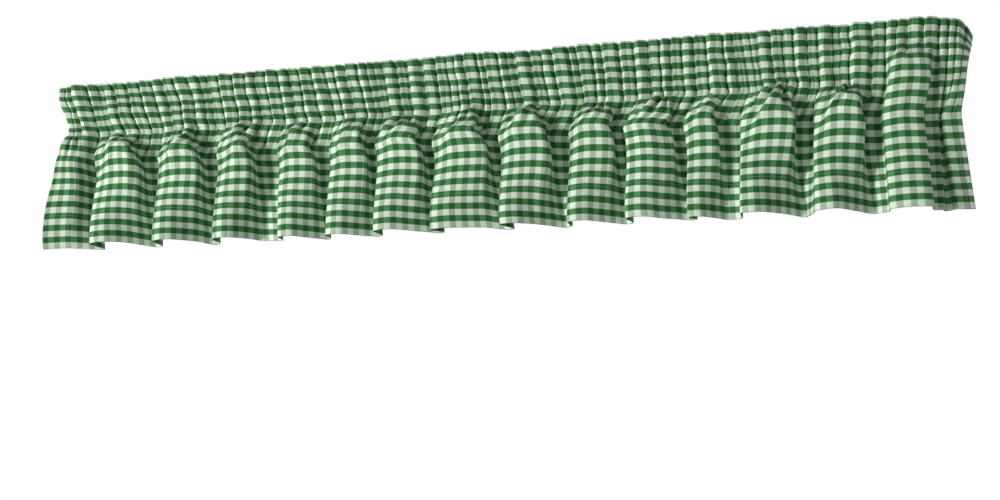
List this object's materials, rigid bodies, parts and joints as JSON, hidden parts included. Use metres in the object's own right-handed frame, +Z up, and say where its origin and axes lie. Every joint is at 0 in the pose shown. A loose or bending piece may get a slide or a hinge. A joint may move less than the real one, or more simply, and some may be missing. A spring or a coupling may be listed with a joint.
{
  "type": "gathered window valance",
  "caption": "Gathered window valance of green and white check cotton, a pencil-pleated heading over a skirt in uneven folds with a stitched hem.",
  "frame": {"origin": "middle of the heading's top edge, in the plane of the backs of the pleats", "axes": "+X along the valance to the right as seen from the room, +Y towards the window, +Z up"},
  "size_m": [1.3101, 0.0704, 0.2485],
  "materials": {
    "check_cotton": "matt plain-woven yarn-dyed cotton in a green and white check"
  },
  "bodies": {
    "root": {"valance_panel": "check_cotton"}
  },
  "joints": []
}
